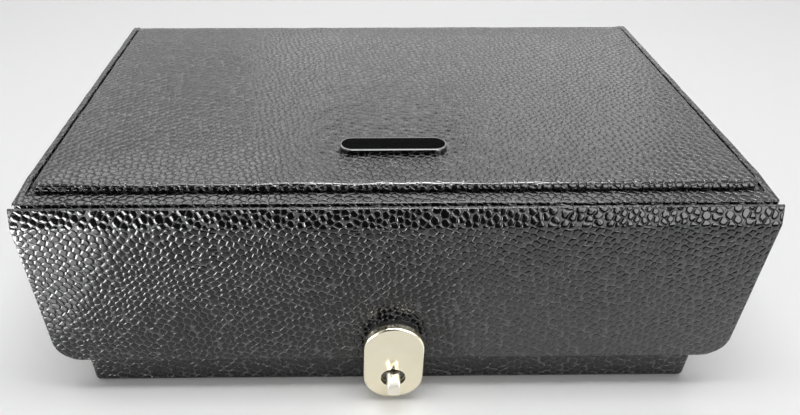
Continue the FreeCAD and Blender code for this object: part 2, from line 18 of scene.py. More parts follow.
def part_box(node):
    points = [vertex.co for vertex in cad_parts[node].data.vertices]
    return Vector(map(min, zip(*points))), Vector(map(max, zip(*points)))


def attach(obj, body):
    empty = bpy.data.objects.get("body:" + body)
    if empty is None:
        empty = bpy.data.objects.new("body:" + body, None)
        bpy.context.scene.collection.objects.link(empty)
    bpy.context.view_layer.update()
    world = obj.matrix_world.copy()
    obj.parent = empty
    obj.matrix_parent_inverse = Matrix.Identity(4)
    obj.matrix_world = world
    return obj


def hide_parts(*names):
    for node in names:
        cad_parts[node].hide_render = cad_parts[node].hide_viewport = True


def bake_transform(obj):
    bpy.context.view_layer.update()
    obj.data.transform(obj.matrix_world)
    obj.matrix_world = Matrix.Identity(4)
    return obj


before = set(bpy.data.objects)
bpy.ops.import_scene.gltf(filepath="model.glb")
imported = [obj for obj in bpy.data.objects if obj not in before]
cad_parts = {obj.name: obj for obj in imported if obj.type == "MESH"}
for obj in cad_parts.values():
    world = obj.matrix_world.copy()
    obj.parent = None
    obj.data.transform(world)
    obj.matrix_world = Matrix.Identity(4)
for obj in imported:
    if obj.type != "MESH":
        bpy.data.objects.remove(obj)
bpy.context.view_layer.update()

MM = 0.001
SHARP = math.radians(38)
NOISE_SEED = 1
MIDDLE = (0.0, -0.08, 0.08)
LOG = logging.getLogger("jewelry_box")

Loop = list[Vector]
Pair = tuple[float, float]
Triple = tuple[float, float, float]
Inputs = dict[str | int, object]
Socket = bpy.types.NodeSocket
Sockets = bpy.types.bpy_prop_collection
AddNode = Callable[..., Sockets]


class Body(Enum):
    """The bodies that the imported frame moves."""

    BODY = "body"
    LID = "lid"
    FLAP = "flap"
    KNOB = "knob"
    TRAY = "tray"


class Rays(Enum):
    """The rays that meet a lamp, each with the switch that is off for it."""

    ALL = ""
    GLOSSY = "visible_diffuse"
    DIFFUSE = "visible_glossy"


def linear(colour: str) -> tuple[float, float, float, float]:
    """Turn an sRGB hex colour to linear light.

    Args:
        colour: the colour as #rrggbb.

    Returns:
        Linear red, green and blue, and a full alpha.
    """
    parts = [int(colour[i : i + 2], 16) / 255 for i in (1, 3, 5)]
    red, green, blue = (c / 12.92 if c <= 0.04045 else ((c + 0.055) / 1.055) ** 2.4 for c in parts)
    return red, green, blue, 1.0


def add_node(
    tree: bpy.types.NodeTree, kind: str, inputs: Inputs | Sequence[object] = (), **settings: object
) -> Sockets:
    """Add a node with its settings and links.

    Args:
        tree: the node tree that takes the node.
        kind: the shader node's type, without the prefix that all of them share.
        inputs: a value, or an output socket to link, for each input socket named, or for the first ones.
        settings: the node's own properties.

    Returns:
        The new node's output sockets.
    """
    node = tree.nodes.new("ShaderNode" + kind)
    for key, value in settings.items():
        setattr(node, key, value)
    for key, value in inputs.items() if isinstance(inputs, dict) else enumerate(inputs):
        if isinstance(value, Socket):
            tree.links.new(value, node.inputs[key])
        else:
            node.inputs[key].default_value = value
    return node.outputs


def per_metre(size_mm: float) -> float:
    """Scale of a pattern whose features are so many millimetres across."""
    return 1 / (size_mm * MM)


def held(value: float) -> float:
    """Hold a value between 0 and 1."""
    return min(max(value, 0), 1)


@cache
def box_of(node: str) -> tuple[Vector, Vector]:
    """Lowest and highest corner of a CAD node at rest."""
    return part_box(node)


@dataclass(frozen=True)
class Look:
    """What a pattern gives a surface: the share of its second tone, other sockets' inputs, and its relief."""

    share: Socket
    inputs: Inputs
    height: Socket | None = None
    strength: Socket | float = 1.0


@dataclass(frozen=True)
class Finish:
    """A surface as it was made, in two tones, which can be turned into a material."""

    name: str = "plain"
    slot: str = "board"
    tones: tuple[str, str] = ("#000000", "#ffffff")
    relief_mm: float = 0.0

    def dress(self, node: AddNode) -> Look:
        """Draw the surface's pattern.

        Args:
            node: adds a node to the material.

        Returns:
            What the pattern gives.
        """
        raise NotImplementedError

    def material(self) -> bpy.types.Material:
        """Make the finish's material on first use.

        Returns:
            The material.
        """
        made = bpy.data.materials.get(self.name)
        if made is None:
            made = bpy.data.materials.new(self.name)
            made.use_nodes = True
            made.node_tree.nodes.clear()
            node = partial(add_node, made.node_tree)
            look = self.dress(node)
            tones = {0: look.share, 6: linear(self.tones[0]), 7: linear(self.tones[1])}
            inputs = {"Base Color": node("Mix", tones, data_type="RGBA")[2], **look.inputs}
            if look.height is not None:
                relief = {"Strength": look.strength, "Distance": self.relief_mm * MM, "Height": look.height}
                inputs["Normal"] = node("Bump", relief)[0]
            shader = node("BsdfPrincipled", inputs)
            node("OutputMaterial", {"Surface": shader["BSDF"]})
        return made


@dataclass(frozen=True)
class Leatherette(Finish):
    """PVC leatherette, embossed between hot rollers.

    The roller leaves tight round pebbles with flat tops and small ones in the gaps, so that each pebble
    mirrors one patch of the room and its steep shoulder draws a fine line round it.
    """

    name: str = "embossed_pvc_leatherette"
    slot: str = "leatherette"
    # The first tone, a lighter grey, is painted highlight in the grooves; the second is the sheet's own
    # near-black.
    tones: tuple[str, str] = ("#4c4c4e", "#09090a")
    painted_line_share: float = 0.32
    pitch_mm: float = 2.85
    scatter: float = 0.5
    turn_deg: float = 19.0
    sway_mm: float = 30.0
    sway: float = 2.1
    least_radius: float = 0.47
    most_radius: float = 0.62
    evenness: float = 0.7
    reach: float = 0.5
    filler_mm: float = 1.25
    filler_least: float = 0.02
    filler_radius: float = 0.48
    filler_height: float = 0.85
    flatness: float = 5.0
    relief_mm: float = 0.29
    lean: float = 0.5
    ripple_mm: float = 16.0
    ripple: float = 0.8
    grain_mm: float = 0.5
    grain: float = 0.03
    roughness: float = 0.13
    groove_roughness: float = 0.4
    ior: float = 1.5
    turned_at: float = 0.7
    fold: tuple[float, float, float, float] = (0.74, 0.8, 0.93, 0.97)
    drawn: float = 0.85

    def pebbles(self, node: AddNode, where: Socket) -> tuple[Socket, Socket, Socket]:
        """Lay round pebbles on a lattice of triangles, each a little out of place.

        The lattice is drawn as squares that lean over; lengths in it are set right again by the cross term.

        Args:
            node: adds a node to the material.
            where: the place on the flat sheet, in pitches.

        Returns:
            The depth inside the nearest pebble there, the room left outside it, and a chance tilt.
        """
        spot = node("SeparateXYZ", (where,))
        lean = 1 / math.sqrt(3)
        along = node("Math", (spot[1], -lean, spot[0]), operation="MULTIPLY_ADD")[0]
        across = node("Math", (spot[1], 2 * lean), operation="MULTIPLY")[0]
        flat = node("CombineXYZ", (along, across))[0]
        lattice = {"Vector": flat, "Scale": 1.0, "Randomness": self.scatter}
        gaps: list[Socket] = []
        tilts: list[Socket] = []
        for feature in ("F1", "F2"):
            point = node("TexVoronoi", lattice, voronoi_dimensions="2D", feature=feature)
            off = node("VectorMath", (flat, point["Position"]), operation="SUBTRACT")[0]
            square = node("VectorMath", (off, off), operation="DOT_PRODUCT")["Value"]
            sides = node("SeparateXYZ", (off,))
            square = node("Math", (sides[0], sides[1], square), operation="MULTIPLY_ADD")[0]
            far = node("Math", (square,), operation="SQRT")[0]
            chance = node("SeparateXYZ", (point["Color"],))
            large = node("Math", (chance[0], self.evenness), operation="POWER")[0]
            radius = node("MapRange", {"Value": large, 3: self.least_radius, 4: self.most_radius})[0]
            gaps.append(node("Math", (far, radius), operation="SUBTRACT")[0])
            level = node("Math", (chance[1], 0.5), operation="SUBTRACT")[0]
            tilts.append(node("Math", (level, sides[1]), operation="MULTIPLY")[0])
        room = node("Math", (gaps[0], gaps[1]), operation="MINIMUM")[0]
        # Two pebbles that meet press a groove halfway between them.
        apart = node("Math", (gaps[0], gaps[1]), operation="SUBTRACT")[0]
        apart = node("Math", (apart,), operation="ABSOLUTE")[0]
        apart = node("Math", (apart, 0.5), operation="MULTIPLY")[0]
        inside = node("Math", (room, -1.0), operation="MULTIPLY")[0]
        depth = node("Math", (inside, apart), operation="MINIMUM")[0]
        return depth, room, tilts[0]

    def dress(self, node: AddNode) -> Look:
        """Draw the pebbles, the gaps between them and the folds.

        Args:
            node: adds a node to the material.

        Returns:
            What the pattern gives.
        """
        coords = node("TexCoord")
        spot = node("SeparateXYZ", (coords["Object"],))
        size = node("VectorMath", (coords["Normal"],), operation="ABSOLUTE")[0]
        faces = node("SeparateXYZ", (size,))
        # The sheet is flat when it is embossed, so the pebbles lie in the plane of each side.
        side = node("Math", (faces[0], self.turned_at), operation="GREATER_THAN")[0]
        level = node("Math", (faces[2], self.turned_at), operation="GREATER_THAN")[0]
        along = node("Mix", {0: side, 2: spot[0], 3: spot[1]}, data_type="FLOAT")[0]
        across = node("Mix", {0: level, 2: spot[2], 3: spot[1]}, data_type="FLOAT")[0]
        flat = node("CombineXYZ", (along, across))[0]
        turn = (0.0, 0.0, math.radians(self.turn_deg))
        scale = (per_metre(self.pitch_mm),) * 3
        sheet = node("Mapping", {"Vector": flat, "Rotation": turn, "Scale": scale})[0]
        # The sheet is drawn unevenly as it is glued down, so the pebbles' rows wander.
        sway = node("TexNoise", {"Vector": flat, "Scale": per_metre(self.sway_mm), "Detail": 0.0})["Color"]
        sheet = node("VectorMath", (sway, (self.sway,) * 3, sheet), operation="MULTIPLY_ADD")[0]
        depth, _, tilt = self.pebbles(node, sheet)
        share = node("MapRange", {"Value": depth, 2: self.reach, 3: 1.0, 4: 0.0})[0]
        fall = node("Math", (share, self.flatness), operation="POWER")[0]
        large = node("Math", (1.0, fall), operation="SUBTRACT")[0]
        ratio = self.pitch_mm / self.filler_mm
        small = node("TexVoronoi", {"Vector": sheet, "Scale": ratio}, voronoi_dimensions="2D", feature="F1")
        # A small pebble is as large as the gap between the large ones leaves room for.
        _, room, _ = self.pebbles(node, small["Position"])
        room = node("Math", (room, ratio), operation="MULTIPLY")[0]
        radius = node("Clamp", (room, self.filler_least, self.filler_radius))[0]
        share = node("Math", (small["Distance"], radius), operation="DIVIDE")[0]
        fall = node("Math", (share, self.flatness), operation="POWER")[0]
        rise = node("Math", (1.0, fall), operation="SUBTRACT")[0]
        rise = node("Math", (rise, self.filler_height), operation="MULTIPLY")[0]
        pebble = node("Math", (rise, large), operation="MAXIMUM")[0]
        height = node("Math", (tilt, self.lean, pebble), operation="MULTIPLY_ADD")[0]
        for wave, gain in ((self.ripple_mm, self.ripple), (self.grain_mm, self.grain)):
            noisy = {"Vector": coords["Object"], "Scale": per_metre(wave), "Detail": 1.0}
            uneven = node("TexNoise", noisy)[0]
            height = node("Math", (uneven, gain, height), operation="MULTIPLY_ADD")[0]
        # Over a fold the sheet is stretched smooth, and the fold shines as a fine line.
        start, full, last, end = self.fold
        front = node("MapRange", {"Value": faces[2], 1: start, 2: full})[0]
        back = node("MapRange", {"Value": faces[2], 1: end, 2: last})[0]
        both = node("Math", (front, back), operation="MINIMUM")[0]
        strength = node("MapRange", {"Value": both, 3: 1.0, 4: 1 - self.drawn})[0]
        # The groove bottoms are rougher and painted a lighter grey, a painted highlight that stands for light
        # caught on the pebbles' shoulders and draws a fine line round each pebble.
        top = node("MapRange", {"Value": pebble, 2: self.painted_line_share})[0]
        gloss = node("MapRange", {"Value": top, 3: self.groove_roughness, 4: self.roughness})[0]
        return Look(top, {"Roughness": gloss, "IOR": self.ior}, height, strength)


@dataclass(frozen=True)
class Velour(Finish):
    """Knitted velour with a short cut pile, glued over card or foam.

    The pile scatters light along its edges and shows soft patches where it was brushed the other way.
    """

    name: str = "cut_pile_velour"
    slot: str = "velour"
    tones: tuple[str, str] = ("#b7a382", "#d8c8a9")
    pile_mm: float = 0.7
    pile_share: float = 0.45
    patch_mm: float = 24.0
    patch_bend: float = 0.6
    tone_range: Pair = (0.45, 1.0)
    relief_mm: float = 0.25
    relief: float = 0.8
    roughness: float = 0.95
    specular: float = 0.2
    sheen: float = 0.55
    sheen_roughness: float = 0.4

    def dress(self, node: AddNode) -> Look:
        """Draw the pile and its brushed patches.

        Args:
            node: adds a node to the material.

        Returns:
            What the pattern gives.
        """
        where = node("TexCoord")["Object"]
        # The pile is finer than a pixel, so it is drawn a few times coarser to show.
        pile = node("TexNoise", {"Vector": where, "Scale": per_metre(self.pile_mm), "Detail": 3.0})[0]
        wide = {"Vector": where, "Scale": per_metre(self.patch_mm), "Detail": 3.0}
        patch = node("TexNoise", wide | {"Distortion": self.patch_bend})[0]
        brushed = node("Math", (pile, self.pile_share, patch), operation="MULTIPLY_ADD")[0]
        share = node("MapRange", {"Value": brushed, 1: self.tone_range[0], 2: self.tone_range[1]})[0]
        soft = {"Specular IOR Level": self.specular, "Roughness": self.roughness}
        soft |= {"Sheen Weight": self.sheen, "Sheen Roughness": self.sheen_roughness}
        return Look(share, soft, pile, self.relief)


@dataclass(frozen=True)
class Plating(Finish):
    """Bright metal plating on a buffed casting or a pressed sheet.

    Buffing leaves a faint waviness and hair lines, so reflections are sharp but not quite still.
    """

    name: str = "buffed_pale_gold_plating"
    slot: str = "lock_plating"
    tones: tuple[str, str] = ("#e8e0c7", "#efe9d4")
    roughness: float = 0.18
    gloss_range: Pair = (0.7, 1.4)
    hairline_mm: float = 0.5
    hairline_draw: Triple = (0.08, 1.0, 1.0)
    hairline_range: Pair = (0.3, 0.7)
    wave_mm: float = 6.0
    relief_mm: float = 0.01
    relief: float = 0.5

    def dress(self, node: AddNode) -> Look:
        """Draw the waviness and the hair lines.

        Args:
            node: adds a node to the material.

        Returns:
            What the pattern gives.
        """
        where = node("TexCoord")["Object"]
        wave = node("TexNoise", {"Vector": where, "Scale": per_metre(self.wave_mm), "Detail": 2.0})[0]
        drawn = node("Mapping", {"Vector": where, "Scale": self.hairline_draw})[0]
        # Hair lines are drawn coarser than real buffing marks, so that they show at all.
        hairline = node("TexNoise", {"Vector": drawn, "Scale": per_metre(self.hairline_mm), "Detail": 4.0})[0]
        smooth, rough = (self.roughness * part for part in self.gloss_range)
        faint, clear = self.hairline_range
        gloss = node("MapRange", {"Value": hairline, 1: faint, 2: clear, 3: smooth, 4: rough})[0]
        return Look(wave, {"Roughness": gloss, "Metallic": 1.0}, wave, self.relief)


@dataclass(frozen=True)
class SilveredGlass(Finish):
    """Float glass silvered on its back, with a ground and polished bevel.

    It mirrors sharply, with faint smears where it was wiped.
    """

    name: str = "silvered_float_glass"
    slot: str = "mirror"
    tones: tuple[str, str] = ("#e9eeec", "#f4f8f6")
    smear_mm: float = 18.0
    smear_range: Pair = (0.45, 0.8)
    gloss_range: Pair = (0.01, 0.06)

    def dress(self, node: AddNode) -> Look:
        """Draw the smears.

        Args:
            node: adds a node to the material.

        Returns:
            What the pattern gives.
        """
        where = node("TexCoord")["Object"]
        smear = node("TexNoise", {"Vector": where, "Scale": per_metre(self.smear_mm), "Detail": 5.0})[0]
        faint, clear = self.smear_range
        smooth, rough = self.gloss_range
        gloss = node("MapRange", {"Value": smear, 1: faint, 2: clear, 3: smooth, 4: rough})[0]
        return Look(smear, {"Roughness": gloss, "Metallic": 1.0})


@dataclass(frozen=True)
class Enamel(Finish):
    """Black stoving enamel poured on a pressed plate.

    It levels out as it is baked, so it is as smooth as glass, with a few specks of dust under the gloss.
    """

    name: str = "stoved_black_enamel"
    slot: str = "badge"
    tones: tuple[str, str] = ("#060607", "#17171a")
    speck_mm: float = 0.9
    speck_range: Pair = (0.6, 0.8)
    roughness: float = 0.035
    lacquer: float = 1.0
    lacquer_roughness: float = 0.03

    def dress(self, node: AddNode) -> Look:
        """Draw the specks under the gloss.

        Args:
            node: adds a node to the material.

        Returns:
            What the pattern gives.
        """
        where = node("TexCoord")["Object"]
        dust = node("TexNoise", {"Vector": where, "Scale": per_metre(self.speck_mm), "Detail": 4.0})[0]
        share = node("MapRange", {"Value": dust, 1: self.speck_range[0], 2: self.speck_range[1]})[0]
        gloss = node("MapRange", {"Value": dust, 3: self.roughness, 4: self.roughness * 2})[0]
        coated = {"Coat Weight": self.lacquer, "Coat Roughness": self.lacquer_roughness}
        return Look(share, {"Roughness": gloss, **coated})


@dataclass(frozen=True)
class Fibred(Finish):
    """Pressed fibre, as in raw board or covering paper: fibres lie every way and soak up light."""

    name: str = "pressed_fibreboard"
    slot: str = "board"
    tones: tuple[str, str] = ("#7d6241", "#a88a63")
    fibre_mm: float = 1.2
    fibre_bend: float = 1.5
    tone_range: Pair = (0.3, 0.7)
    relief_mm: float = 0.1
    relief: float = 0.7
    roughness: float = 0.85

    def dress(self, node: AddNode) -> Look:
        """Draw the fibres.

        Args:
            node: adds a node to the material.

        Returns:
            What the pattern gives.
        """
        where = node("TexCoord")["Object"]
        felted = {"Vector": where, "Scale": per_metre(self.fibre_mm), "Detail": 5.0}
        fibre = node("TexNoise", felted | {"Distortion": self.fibre_bend})[0]
        share = node("MapRange", {"Value": fibre, 1: self.tone_range[0], 2: self.tone_range[1]})[0]
        return Look(share, {"Roughness": self.roughness}, fibre, self.relief)


@dataclass(frozen=True)
class Finishes:
    """Every finish on the box."""

    leatherette: Finish = Leatherette()
    velour: Finish = Velour()
    gold: Finish = Plating()
    # Blasted before plating, so the knob's fin scatters where the plate mirrors.
    satin: Finish = Plating("satin_pale_plating", tones=("#dfdbcc", "#e9e6da"), roughness=0.4)
    # Barrel-plated over pressed steel, greyer and less even than the lock.
    nickel: Finish = Plating("nickel_plated_pressed_steel", "steel", ("#b9b5ab", "#cfccc4"), roughness=0.26)
    glass: Finish = SilveredGlass()
    enamel: Finish = Enamel()
    # Brushed on by hand, so it is duller than the stoved enamel; on the lock body it is painted shade of the
    # gap behind the plate.
    lacquer: Finish = Enamel("dark_lacquer_and_painted_shade", "lock_plating", ("#14120c", "#241d12"), roughness=0.3)
    board: Finish = Fibred()
    # Dyed and calendered, so it is finer and smoother than raw board.
    paper: Finish = Fibred(
        "black_covering_paper", "base_paper", ("#0f0f10", "#1b1b1c"), 0.06, fibre_mm=0.8, roughness=0.7
    )


@dataclass(frozen=True)
class Waver:
    """Small even unsteadiness of a hand-laid covering."""

    reach: float
    wave: float
    seed: float

    def at(self, point: Vector) -> Vector:
        """Give the move at a point."""
        start = Vector((self.seed, self.seed * 1.7, -self.seed))
        return noise.noise_vector(point / self.wave + start) * self.reach

    def shake(self, loops: Sequence[Loop]) -> None:
        """Move every point of some loops.

        Args:
            loops: the loops, whose points are moved.
        """
        for loop in loops:
            for point in loop:
                point += self.at(point)


def loft(
    name: str, rows: Sequence[Loop], closed: bool = True, first: bool = False, last: bool = False
) -> bpy.types.Mesh:
    """Draw a smooth surface through rows of as many points each, with its sharp edges marked.

    Args:
        name: the mesh's name.
        rows: the rows in order.
        closed: whether each row is a closed loop.
        first: whether the first loop is filled.
        last: whether the last loop is filled.

    Returns:
        The mesh, its loose ends merged and its faces turned outwards.
    """
    count = len(rows[0])
    faces: list[tuple[int, ...]] = []
    for a in range(0, (len(rows) - 1) * count, count):
        b = a + count
        for k in range(count if closed else count - 1):
            after = (k + 1) % count
            faces.append((a + k, a + after, b + after, b + k))
    if first:
        faces.append(tuple(reversed(range(count))))
    if last:
        faces.append(tuple(range((len(rows) - 1) * count, len(rows) * count)))
    mesh = bpy.data.meshes.new(name)
    mesh.from_pydata([tuple(p) for row in rows for p in row], [], faces)
    work = bmesh.new()
    work.from_mesh(mesh)
    bmesh.ops.remove_doubles(work, verts=work.verts, dist=1e-7)
    bmesh.ops.recalc_face_normals(work, faces=work.faces)
    for face in work.faces:
        face.smooth = True
    work.to_mesh(mesh)
    work.free()
    mesh.set_sharp_from_angle(angle=SHARP)
    return mesh


def joined(name: str, meshes: Sequence[bpy.types.Mesh]) -> bpy.types.Mesh:
    """Put several meshes into one.

    Args:
        name: the new mesh's name.
        meshes: the meshes, which are used up.

    Returns:
        The new mesh.
    """
    work = bmesh.new()
    for mesh in meshes:
        work.from_mesh(mesh)
        bpy.data.meshes.remove(mesh)
    mesh = bpy.data.meshes.new(name)
    work.to_mesh(mesh)
    work.free()
    mesh.set_sharp_from_angle(angle=SHARP)
    return mesh


def shown(name: str, data: bpy.types.ID) -> bpy.types.Object:
    """Put a mesh, a lamp or a camera in the scene.

    Args:
        name: the new object's name.
        data: what it shows.

    Returns:
        The new object.
    """
    item = bpy.data.objects.new(name, data)
    bpy.context.scene.collection.objects.link(item)
    return item


def place(
    mesh: bpy.types.Mesh, finish: Finish, body: Body | None, nodes: Sequence[str] = ()
) -> bpy.types.Object:
    """Put a mesh in the scene as a piece of the box.

    Args:
        mesh: the piece's mesh, in its place.
        finish: its finish.
        body: the body that carries it, or none for a piece that lies between two bodies and is attached to
            neither.
        nodes: the CAD nodes that it stands for.

    Returns:
        The new piece.
    """
    piece = shown(mesh.name, mesh)
    mesh.materials.append(finish.material())
    if body is not None:
        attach(piece, body.value)
    if nodes:
        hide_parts(*nodes)
    LOG.info("%s: %d faces, %s", piece.name, len(mesh.polygons), finish.name)
    return piece


def coat(finish: Finish, *nodes: str) -> None:
    """Give CAD nodes whose shape is right a finish.

    Args:
        finish: the finish.
        nodes: the nodes' names.
    """
    for name in nodes:
        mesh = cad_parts[name].data
        mesh.materials.clear()
        mesh.materials.append(finish.material())
        LOG.info("%s: kept from the frame, %s", name, finish.name)


def arc(centre: Pair, radius: float, start: float, end: float, steps: int) -> list[Pair]:
    """Draw an arc.

    Args:
        centre: its centre.
        radius: its radius.
        start: its first angle in degrees.
        end: its last angle in degrees.
        steps: the number of spans.

    Returns:
        Its points, both ends among them.
    """
    angles = [math.radians(start + (end - start) * i / steps) for i in range(steps + 1)]
    return [(centre[0] + radius * math.cos(a), centre[1] + radius * math.sin(a)) for a in angles]


def between(a: Pair, b: Pair, spans: int) -> list[Pair]:
    """Split a straight line into spans.

    Args:
        a: one end of the line.
        b: its other end.
        spans: the number of spans.

    Returns:
        The points inside it, without its ends.
    """
    return [(a[0] + (b[0] - a[0]) * i / spans, a[1] + (b[1] - a[1]) * i / spans) for i in range(1, spans)]


@dataclass(frozen=True)
class Outline:
    """Level rectangle with round corners."""

    x: float
    y0: float
    y1: float
    corner: float

    def loop(self, z: float, inset: float = 0.0, across: int = 110, along: int = 70, bend: int = 6) -> Loop:
        """Draw the outline at a height.

        Args:
            z: the height.
            inset: how far it is drawn in.
            across: spans along each side that runs along X.
            along: spans along each side that runs along Y.
            bend: spans round each corner.

        Returns:
            The closed loop, from the back of the right side anticlockwise.
        """
        x, y0, y1 = self.x - inset, self.y0 + inset, self.y1 - inset
        corner = min(self.corner, x * 0.98, (y1 - y0) * 0.49)
        right, back, front = x - corner, y1 - corner, y0 + corner
        centres = ((right, back), (-right, back), (-right, front), (right, front))
        points: list[Pair] = []
        for i, (centre, spans) in enumerate(zip(centres, (along, across) * 2)):
            bent = arc(centre, corner, 90 * i, 90 * i + 90, bend)
            if points:
                points += between(points[-1], bent[0], spans)
            points += bent
        points += between(points[-1], points[0], along)
        return [Vector((px, py, z)) for px, py in points]


def boxed(node: str, corner: float = 0.0) -> Outline:
    """Outline of a CAD node's box seen from above.

    Args:
        node: the node's name.
        corner: the outline's corner radius.

    Returns:
        The outline.
    """
    low, high = box_of(node)
    return Outline(high.x, low.y, high.y, corner)


@dataclass
class Carcass:
    """The box's body: leatherette over board, velour inside, on a paper base."""

    finishes: Finishes
    corner: float = 2.0 * MM
    rim_round: float = 0.8 * MM
    rim_flat: float = 2.5
    lip: float = 0.3 * MM
    wall: float = 7.0 * MM
    turn_in: float = 0.7 * MM
    wall_rows: int = 16
    cover: Waver = Waver(0.09 * MM, 16 * MM, 3.0)
    pad_dip: float = 0.9 * MM
    pad_reach: float = 5.0 * MM
    pad: Waver = Waver(0.15 * MM, 20 * MM, 5.0)
    pad_spans: tuple[int, int] = (114, 72)

    def build_cover(self) -> None:
        """Leatherette drawn over the rim, down the walls and in under the base."""
        low, high = box_of("body_wrap")
        side = boxed("body_wrap", self.corner)
        rim, wall, bend = high.z, self.wall, self.rim_round
        profile = [(wall, rim - self.turn_in), (wall, rim - self.lip), (wall - self.lip, rim)]
        profile += [(bend * self.rim_flat, rim)]
        profile += [(bend - y, z) for y, z in arc((0, rim - bend), bend, 90, 0, 6)]
        rows = self.wall_rows
        profile += [(0.0, low.z + (rim - low.z) * i / rows) for i in range(rows - 1, 1, -1)]
        profile += [(self.corner - y, z) for y, z in arc((0, low.z + self.corner), self.corner, 0, -90, 8)]
        profile += [(wall, low.z)]
        loops = [side.loop(z, inset) for inset, z in profile]
        self.cover.shake(loops)
        place(loft("body_cover", loops), self.finishes.leatherette, Body.BODY, ["body_wrap"])

    def build_floor(self) -> None:
        """Velour floor pad, pressed down along the dividers."""
        low, high = box_of("floor_lining")
        long_low, long_high = box_of("long_divider")
        cross_low, cross_high = box_of("cross_dividers")
        half = (long_high.y - long_low.y) / 2
        lines_x = [low.x, cross_low.x + half, cross_high.x - half, high.x]
        lines_y = [low.y, (long_low.y + long_high.y) / 2, high.y]
        across, along = self.pad_spans
        rows = []
        for i in range(along + 1):
            y = low.y + (high.y - low.y) * i / along
            row = []
            for k in range(across + 1):
                x = low.x + (high.x - low.x) * k / across
                near = min(min(abs(x - v) for v in lines_x), min(abs(y - v) for v in lines_y))
                sink = self.pad_dip * (1 - held(near / self.pad_reach)) ** 2
                row.append(Vector((x, y, high.z - sink)) + self.pad.at(Vector((x, y, 0))))
            rows.append(row)
        mesh = loft("floor_pad", rows, closed=False)
        pad = place(mesh, self.finishes.velour, Body.BODY, ["floor_lining"])

    def coat_rest(self) -> None:
        """Finish what is kept from the frame."""
        coat(self.finishes.board, "base_board", "front_wall", "back_wall", "left_wall", "right_wall")
        coat(self.finishes.paper, "base_sheet")
        linings = ["front_lining", "back_lining", "left_lining", "right_lining"]
        coat(self.finishes.velour, *linings, "front_rail", "back_rail", "long_divider", "cross_dividers")
        coat(self.finishes.nickel, "keeper", "left_body_leaf", "right_body_leaf", "hinge_pins")
        coat(self.finishes.nickel, "keeper_screws", "body_hinge_screws")

    def build(self) -> None:
        """Build and dress the body."""
        self.build_cover()
        self.build_floor()
        self.coat_rest()


